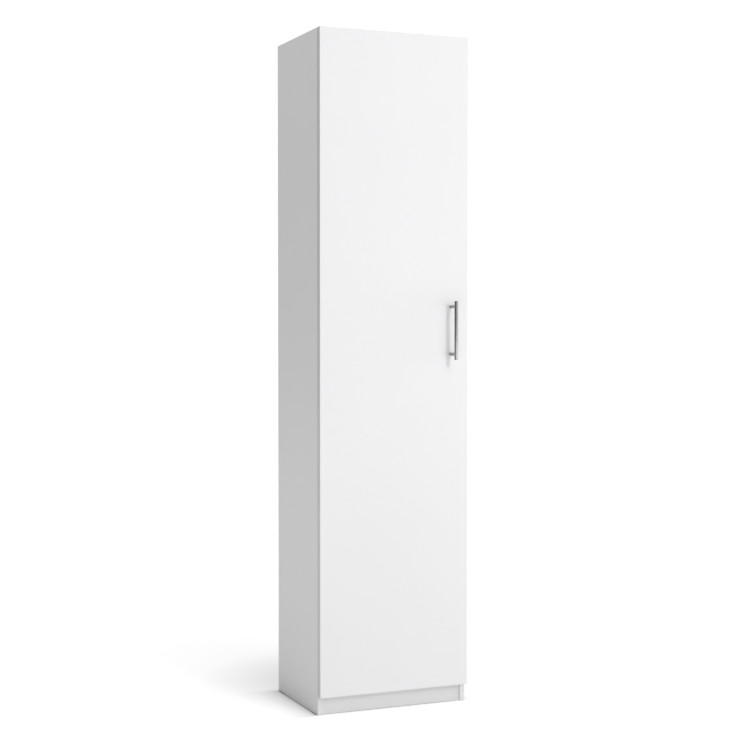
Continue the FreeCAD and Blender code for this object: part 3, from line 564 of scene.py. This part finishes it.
class Screw:
    """The sizes of one screw of the model: its head, its shank and which way it looks."""

    def __init__(self, points):
        low = Vector(min(point[i] for point in points) for i in range(3))
        high = Vector(max(point[i] for point in points) for i in range(3))
        middle, size = (low + high) / 2, high - low
        self.length = max(size)
        self.way = Vector(length == self.length for length in size)
        rings = [((point - middle).dot(self.way), (point - middle).cross(self.way).length)
                 for point in points]
        self.head = max(radius for _, radius in rings)
        if sum(along for along, radius in rings if radius > RIM_POINTS * self.head) < 0:
            self.way = -self.way
            rings = [(-along, radius) for along, radius in rings]
        self.top = middle + self.way * self.length / 2
        under = min(along for along, radius in rings if radius > RIM_POINTS * self.head)
        self.height = self.length / 2 - under
        self.shank = max(radius for along, radius in rings if along < under - UNDER_HEAD)

    def dome(self):
        """Radius and height from the head's flat down to where its rim starts."""
        flat = HEAD_FLAT * self.head
        drop = (1 - HEAD_RIM) * self.height
        points = []
        for step in range(DOME_STEPS + 1):
            angle = QUARTER * step / DOME_STEPS
            points.append((flat + (self.head - flat) * math.sin(angle), -drop * (1 - math.cos(angle))))
        return points

    def thread(self, pitch):
        """Radius and height from under the head down to the end, with the crests on the shank."""
        core = THREAD_CORE * self.shank
        points = [(core, -self.height)]
        for turn in range(int((self.length - self.height - self.shank) / pitch)):
            start = -self.height - turn * pitch
            points += [(core, start - TURN_LEAVES * pitch),
                       (self.shank, start - TURN_CREST * pitch),
                       (core, start - TURN_BACK * pitch)]
        return points + [(THREAD_END * core, -self.length)]

    def profile(self, pitch):
        """Radius and height from the head's flat down to the end, all inside the solid."""
        return self.dome() + [(self.head, -self.height)] + self.thread(pitch)

    def place(self, turn):
        """Z along the screw with its origin on the head's flat, turned about itself."""
        upright = self.way.to_track_quat("Z", "Y").to_matrix().to_4x4()
        return Matrix.Translation(self.top) @ upright @ Matrix.Rotation(turn, 4, "Z")


def loop_edges(shape, points):
    """The edges of a closed loop of points, made where there are none yet."""
    return [shape.edges.get(pair) or shape.edges.new(pair)
            for pair in zip(points, points[1:] + points[:1])]


def cross_points(reach, half, height):
    """The twelve corners of a cross, one quarter after the other."""
    corners = []
    for quarter in range(4):
        turn = Matrix.Rotation(QUARTER * quarter, 3, "Z")
        for corner in ((reach, -half, height), (reach, half, height), (half, half, height)):
            corners.append(turn @ Vector(corner))
    return corners


def add_screw(shape, screw, pitch, turn):
    """A turned screw with a threaded shank and a tapered cross recess in its head."""
    place = screw.place(turn)
    rings = turned(shape, place, screw.profile(pitch), SIDES)
    shape.faces.new(rings[-1])
    reach, half = CROSS_REACH * screw.head, CROSS_HALF * screw.head
    mouth = ring(shape, place, cross_points(reach, half, 0))
    deep = ring(shape, place, cross_points(reach * CROSS_TAPER, half * CROSS_TAPER,
                                           -CROSS_DEPTH * screw.height))
    skin(shape, mouth, deep)
    shape.faces.new(deep)
    bmesh.ops.triangle_fill(shape, use_beauty=True,
                            edges=loop_edges(shape, rings[0]) + loop_edges(shape, mouth))


def make_screws():
    """Real screws in place of the model's plain ones, each turned its own way."""
    for name, (body, pitch) in SCREWS.items():
        shape = bmesh.new()
        for number, points in enumerate(loose_parts(name)):
            add_screw(shape, Screw(points), pitch, math.radians(TURN_STEP * number))
        take_place(shape, "cross_" + name, ZINC, body, name)


# ---------------------------------------------------------- the handle's bar

BAR_SIDES = 72
BAR_ROUND = 0.6 * MM
ROUND_STEPS = 4


def make_bar():
    """The bar with finely rounded ends, inside the model's chamfered one."""
    low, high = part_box("handle_bar")
    middle, half = (low + high) / 2, (high - low) / 2
    bar_radius = min(half.x, half.y)
    corner = []
    for step in range(ROUND_STEPS + 1):
        angle = QUARTER * step / ROUND_STEPS
        corner.append((bar_radius - BAR_ROUND * (1 - math.sin(angle)),
                       half.z - BAR_ROUND * (1 - math.cos(angle))))
    profile = corner + [(radius, -height) for radius, height in reversed(corner)]
    shape = bmesh.new()
    rings = turned(shape, Matrix.Translation(middle), profile, BAR_SIDES)
    shape.faces.new(rings[0])
    shape.faces.new(rings[-1])
    take_place(shape, "turned_handle_bar", BRUSHED_STEEL, "door", "handle_bar")


# ----------------------------------------------------------------- the stage

STAGE_HALF = 14.0
STAGE_ROUGHNESS = 0.9
FLOOR_BLOTCH = 0.6
FLOOR_LEVELS = (0.35, 0.36)
# the floor's glow round a point behind the cupboard, lowest there as a painted shadow: shares of the
# reach, and levels
PAINTED_SHADOW_MIDDLE = (0.03, 0.25, 0)
GLOW_REACH = 2.2
GLOW_STOPS_WITH_PAINTED_SHADOW = ((0.0, 0.50), (0.2, 0.85), (0.35, 0.89), (1.0, 1.05))
# a painted contact shadow: what is left of the glow beside the cupboard; the squeeze shortens its reach
# along Y
PAINTED_CONTACT_REACH = 0.13
PAINTED_CONTACT_STOPS = ((0.0, 0.2), (0.03, 0.55), (0.2, 0.76), (0.5, 0.92), (1.0, 1.0))
PAINTED_CONTACT_SQUEEZE = (1, 4, 1)
PAINTED_CONTACT_FRONT = 0.005
PAINTED_CONTACT_RIGHT = 0.025
# the black card: its bearing to the right of the front in degrees, its lengths in metres
FLAG_BEARING = -52
FLAG_DISTANCE = 3.0
FLAG_WIDTH, FLAG_HEIGHT = 2.4, 2.6
FLAG_FOOT = 0.01
FLAG_GRAIN = 0.01
FLAG_LEVELS = (0.07, 0.091)


def flat_face(name, corners, material):
    """One flat face with a material, for the stage."""
    mesh = bpy.data.meshes.new(name)
    mesh.from_pydata(corners, [], [range(len(corners))])
    mesh.materials.append(material)
    made = bpy.data.objects.new(name, mesh)
    bpy.context.scene.collection.objects.link(made)
    return made


def painted_contact_footprint():
    """Middle and half size of the floor under the painted contact shadow, in from front and right."""
    low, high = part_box("side_panel_left")
    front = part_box("plinth_board")[0][1] + PAINTED_CONTACT_FRONT
    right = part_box("side_panel_right")[1][0] - PAINTED_CONTACT_RIGHT
    middle = ((low[0] + right) / 2, (front + high[1]) / 2, 0)
    return middle, (right - middle[0], high[1] - middle[1], 0)


def grey_ramp(finish, distance, reach, stops):
    """A grey that goes through the stops, each a share of the reach and a level."""
    share = finish.between(distance, 0, 1, 0, reach)
    return finish.ramp(share, [(at, grey(level)) for at, level in stops])


def floor_glow_with_painted_shadow(finish):
    """The floor shines by itself, with a painted shadow: less behind the cupboard and least where it
    stands.
    """
    away = finish.vector("DISTANCE", finish.place, PAINTED_SHADOW_MIDDLE, output="Value")
    middle, half = painted_contact_footprint()
    offset = finish.vector("ABSOLUTE", finish.vector("SUBTRACT", finish.place, middle))
    outside = finish.vector("MAXIMUM", finish.vector("SUBTRACT", offset, half), (0, 0, 0))
    squeezed = finish.vector("MULTIPLY", outside, PAINTED_CONTACT_SQUEEZE)
    beside = finish.vector("LENGTH", squeezed, output="Value")
    return finish.vector("MULTIPLY", grey_ramp(finish, away, GLOW_REACH, GLOW_STOPS_WITH_PAINTED_SHADOW),
                         grey_ramp(finish, beside, PAINTED_CONTACT_REACH, PAINTED_CONTACT_STOPS))


def make_floor():
    """A pale floor that glows, with a painted shadow near the cupboard and more glow away from it, so
    that it has no far edge.
    """
    finish = Finish("floor_pale_painted_shadow", Roughness=STAGE_ROUGHNESS, Emission_Strength=1.0)
    blotches = finish.noise(FLOOR_BLOTCH, detail=3)
    finish.colour(finish.blend(blotches, *map(grey, FLOOR_LEVELS)))
    finish.wire(finish.shader, Emission_Color=floor_glow_with_painted_shadow(finish))
    far = STAGE_HALF
    corners = [(-far, -far, 0), (far, -far, 0), (far, far, 0), (-far, far, 0)]
    floor = flat_face("floor", corners, finish.material)


def make_flag():
    """A black card left of the camera, seen only in the metal, where it draws a dark line."""
    finish = Finish("flag_black", Roughness=STAGE_ROUGHNESS)
    finish.colour(finish.blend(finish.noise(FLAG_GRAIN), *map(grey, FLAG_LEVELS)))
    half, top = FLAG_WIDTH / 2, FLAG_HEIGHT
    corners = [(-half, 0, 0), (half, 0, 0), (half, 0, top), (-half, 0, top)]
    flag = flat_face("flag", corners, finish.material)
    bearing = math.radians(FLAG_BEARING)
    flag.location = (FLAG_DISTANCE * math.sin(bearing), -FLAG_DISTANCE * math.cos(bearing), FLAG_FOOT)
    flag.rotation_euler = (0, 0, bearing)
    flag.visible_camera = False
    flag.visible_diffuse = False
    flag.visible_shadow = False


# ----------------------------------------------------------------- the light

MIDDLE = (0, -0.14, 1.0)
TOP = (0, 0.2, 1.8)
# A soft box looks at its target from a bearing to the right of the front and a height angle,
# both in degrees, and from a distance. Its width is in metres and its power in watts. One for
# "light" is never mirrored, and one for the "mirror" gives no diffuse light.
Softbox = namedtuple("Softbox", "target bearing height distance width power use")
SOFTBOXES = {
    "key": Softbox(MIDDLE, 15, 25, 9.0, 1.3, 195, "light"),
    "panel": Softbox(MIDDLE, 15, 47, 10.0, 5.5, 265, "light"),
    "right": Softbox(MIDDLE, 82, 0, 2.2, 1.2, 15, "light"),
    "left": Softbox(MIDDLE, -100, 55, 3.5, 1.2, 11, "light"),
    "top": Softbox(TOP, 0, 90, 1.4, 1.0, 12, "light"),
    "card": Softbox(MIDDLE, 38, 5, 5.0, 6.0, 160, "mirror"),
}


def make_lights():
    """The soft boxes, none of which the camera sees."""
    for name, box in SOFTBOXES.items():
        light = bpy.data.lights.new(name, "AREA")
        light.size = box.width
        light.energy = box.power
        lamp = bpy.data.objects.new(name, light)
        bearing, height = math.radians(box.bearing), math.radians(box.height)
        outward = Vector((math.sin(bearing) * math.cos(height),
                          -math.cos(bearing) * math.cos(height), math.sin(height)))
        target = Vector(box.target)
        lamp.location = target + box.distance * outward
        lamp.rotation_euler = (target - lamp.location).to_track_quat("-Z", "Y").to_euler()
        lamp.visible_camera = False
        lamp.visible_glossy = box.use == "mirror"
        lamp.visible_diffuse = box.use == "light"
        bpy.context.scene.collection.objects.link(lamp)


SKY_SEEN = 1.05
SKY_LIGHT = 0.05
SKY_MIRRORED = 0.22


def make_world():
    """A white sky to look at, a dimmer one in the metal, and hardly any light from it."""
    world = bpy.data.worlds.new("studio")
    bpy.context.scene.world = world
    world.use_nodes = True
    tree = world.node_tree
    tree.nodes.clear()
    seen = tree.nodes.new("ShaderNodeBackground")
    unseen = tree.nodes.new("ShaderNodeBackground")
    for background in (seen, unseen):
        background.inputs["Color"].default_value = (1, 1, 1, 1)
    seen.inputs["Strength"].default_value = SKY_SEEN
    ray = tree.nodes.new("ShaderNodeLightPath")
    strength = tree.nodes.new("ShaderNodeMapRange")
    strength.inputs["To Min"].default_value = SKY_LIGHT
    strength.inputs["To Max"].default_value = SKY_MIRRORED
    tree.links.new(ray.outputs["Is Glossy Ray"], strength.inputs["Value"])
    tree.links.new(strength.outputs["Result"], unseen.inputs["Strength"])
    mix = tree.nodes.new("ShaderNodeMixShader")
    out = tree.nodes.new("ShaderNodeOutputWorld")
    share, first, second = mix.inputs
    tree.links.new(ray.outputs["Is Camera Ray"], share)
    tree.links.new(unseen.outputs["Background"], first)
    tree.links.new(seen.outputs["Background"], second)
    tree.links.new(mix.outputs["Shader"], out.inputs["Surface"])


# ---------------------------------------------------------------- the camera
# Fitted to the cupboard's edges in the photo: place in metres, turn to the right and dip in
# degrees, shift as a share of the frame, focal length in its pixels. The sensor is in mm.

CAMERA_PLACE = (-1.6712, -3.9181, 1.0318)
CAMERA_TURN = 23.144
CAMERA_DIP = 1.469
CAMERA_SHIFT = -0.016
FRAME_PIXELS = 750
FOCAL_PIXELS = 1555.1
SENSOR = 36.0


def make_camera():
    """The camera where the photo was taken from."""
    data = bpy.data.cameras.new("camera")
    data.sensor_width = SENSOR
    data.lens = FOCAL_PIXELS * SENSOR / FRAME_PIXELS
    data.shift_y = CAMERA_SHIFT
    camera = bpy.data.objects.new("camera", data)
    camera.location = CAMERA_PLACE
    camera.rotation_euler = (math.radians(90 - CAMERA_DIP), 0, math.radians(-CAMERA_TURN))
    bpy.context.scene.collection.objects.link(camera)
    bpy.context.scene.camera = camera


dress_boards()
dress_fittings()
make_screws()
make_bar()
make_floor()
make_lights()
make_flag()
make_world()
make_camera()
bpy.context.scene.view_settings.view_transform = "Standard"
